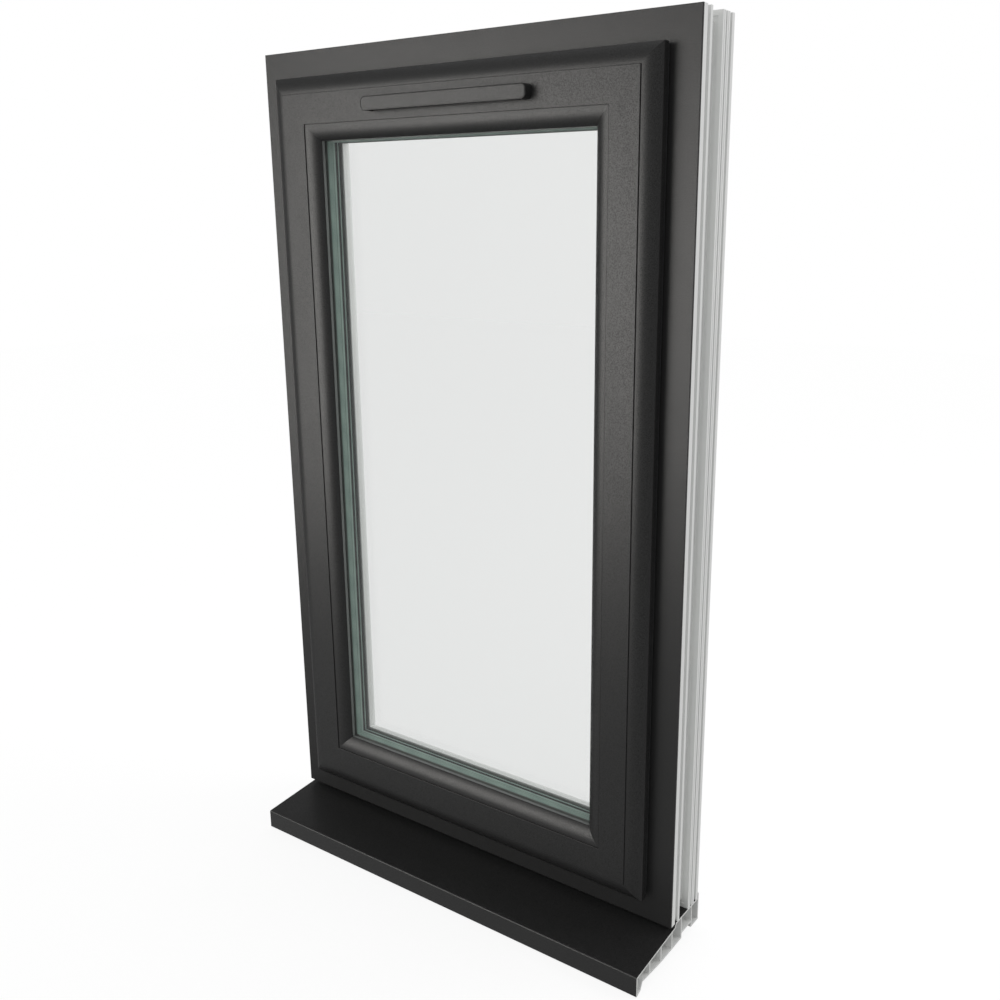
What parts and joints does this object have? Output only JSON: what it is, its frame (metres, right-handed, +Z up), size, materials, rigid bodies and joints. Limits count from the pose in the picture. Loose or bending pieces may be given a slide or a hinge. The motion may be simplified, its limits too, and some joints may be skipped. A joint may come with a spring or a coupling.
{
  "type": "side-hung casement window",
  "caption": "Side-hung casement window in lipped plastic profiles with ovolo mouldings, sealed double glazing, a trickle vent and a projecting cill; the sash opens outwards on friction stays.",
  "frame": {"origin": "on the cill's bed, at mid width, in the plane of the outer frame's front face", "axes": "+X along the window to the right seen from outside, +Y from outside to inside, +Z up"},
  "size_m": [0.6, 0.1645, 1.0394],
  "materials": {
    "foiled_profile": "embossed dark grey foil on white plastic",
    "white_plastic": "smooth white plastic",
    "white_painted_metal": "white powder coat",
    "gasket_rubber": "black sealing rubber",
    "stay_steel": "brushed stainless steel",
    "window_glass": "clear float glass",
    "spacer_metal": "ribbed spacer bar",
    "packer_plastic": "moulded packer"
  },
  "bodies": {
    "frame": {"cill": "foiled_profile", "frame_bottom": "foiled_profile", "frame_head": "foiled_profile", "frame_jamb_hinge": "foiled_profile", "frame_jamb_lock": "foiled_profile", "frame_gasket": "gasket_rubber", "stay_track_bottom": "stay_steel", "stay_track_top": "stay_steel", "lock_keep_lower": "stay_steel", "lock_keep_upper": "stay_steel"},
    "short_arms": {"short_arm_bottom": "stay_steel", "short_arm_top": "stay_steel"},
    "long_arms": {"long_arm_bottom": "stay_steel", "long_arm_top": "stay_steel"},
    "sash": {"sash_bottom_rail": "foiled_profile", "sash_top_rail": "foiled_profile", "sash_stile_hinge": "foiled_profile", "sash_stile_lock": "foiled_profile", "sash_gasket": "gasket_rubber", "stay_plate_bottom": "stay_steel", "stay_plate_top": "stay_steel", "outer_pane": "window_glass", "inner_pane": "window_glass", "spacer_bar": "spacer_metal", "glass_edge_seal": "gasket_rubber", "outer_glazing_gasket": "gasket_rubber", "inner_glazing_gasket": "gasket_rubber", "glazing_packers": "packer_plastic", "bead_bottom": "white_plastic", "bead_top": "white_plastic", "bead_hinge": "white_plastic", "bead_lock": "white_plastic", "lock_faceplate": "stay_steel", "lock_gearbox": "stay_steel", "handle_base": "white_painted_metal", "vent_canopy": "foiled_profile", "vent_grille": "white_plastic"},
    "handle": {"handle_lever": "white_painted_metal"},
    "lock_bar": {"lock_bar": "stay_steel"},
    "vent_shutter": {"vent_shutter": "white_plastic"}
  },
  "joints": [
    {"name": "short_arm_turn", "type": "hinge", "parent": "frame", "child": "short_arms", "pos_m": [-0.176, 0.016, 0.5], "axis": [0, 0, 1], "range_deg": [0, 42.2]},
    {"name": "sash_swing", "type": "hinge", "parent": "short_arms", "child": "sash", "pos_m": [-0.238, 0.025, 0.5], "axis": [0, 0, -1], "range_deg": [0, 102.11]},
    {"name": "long_arm_turn", "type": "hinge", "parent": "frame", "child": "long_arms", "pos_m": [0.047, 0.032, 0.5], "axis": [0, 0, 1], "range_deg": [0, 14.2]},
    {"name": "handle_turn", "type": "hinge", "parent": "sash", "child": "handle", "pos_m": [0.2265, 0.0465, 0.531], "axis": [0, -1, 0], "range_deg": [0, 90]},
    {"name": "lock_slide", "type": "slide", "parent": "sash", "child": "lock_bar", "axis": [0, 0, 1], "range_m": [0, 0.0201]},
    {"name": "vent_slide", "type": "slide", "parent": "sash", "child": "vent_shutter", "axis": [1, 0, 0], "range_m": [0, 0.005]}
  ],
  "couplings": [
    {"joint": "short_arm_turn", "follows": "sash_swing", "ratio": 0.41239},
    {"joint": "long_arm_turn", "follows": "sash_swing", "ratio": 0.13862},
    {"joint": "lock_slide", "follows": "handle_turn", "m_per_rad": 0.012732}
  ]
}
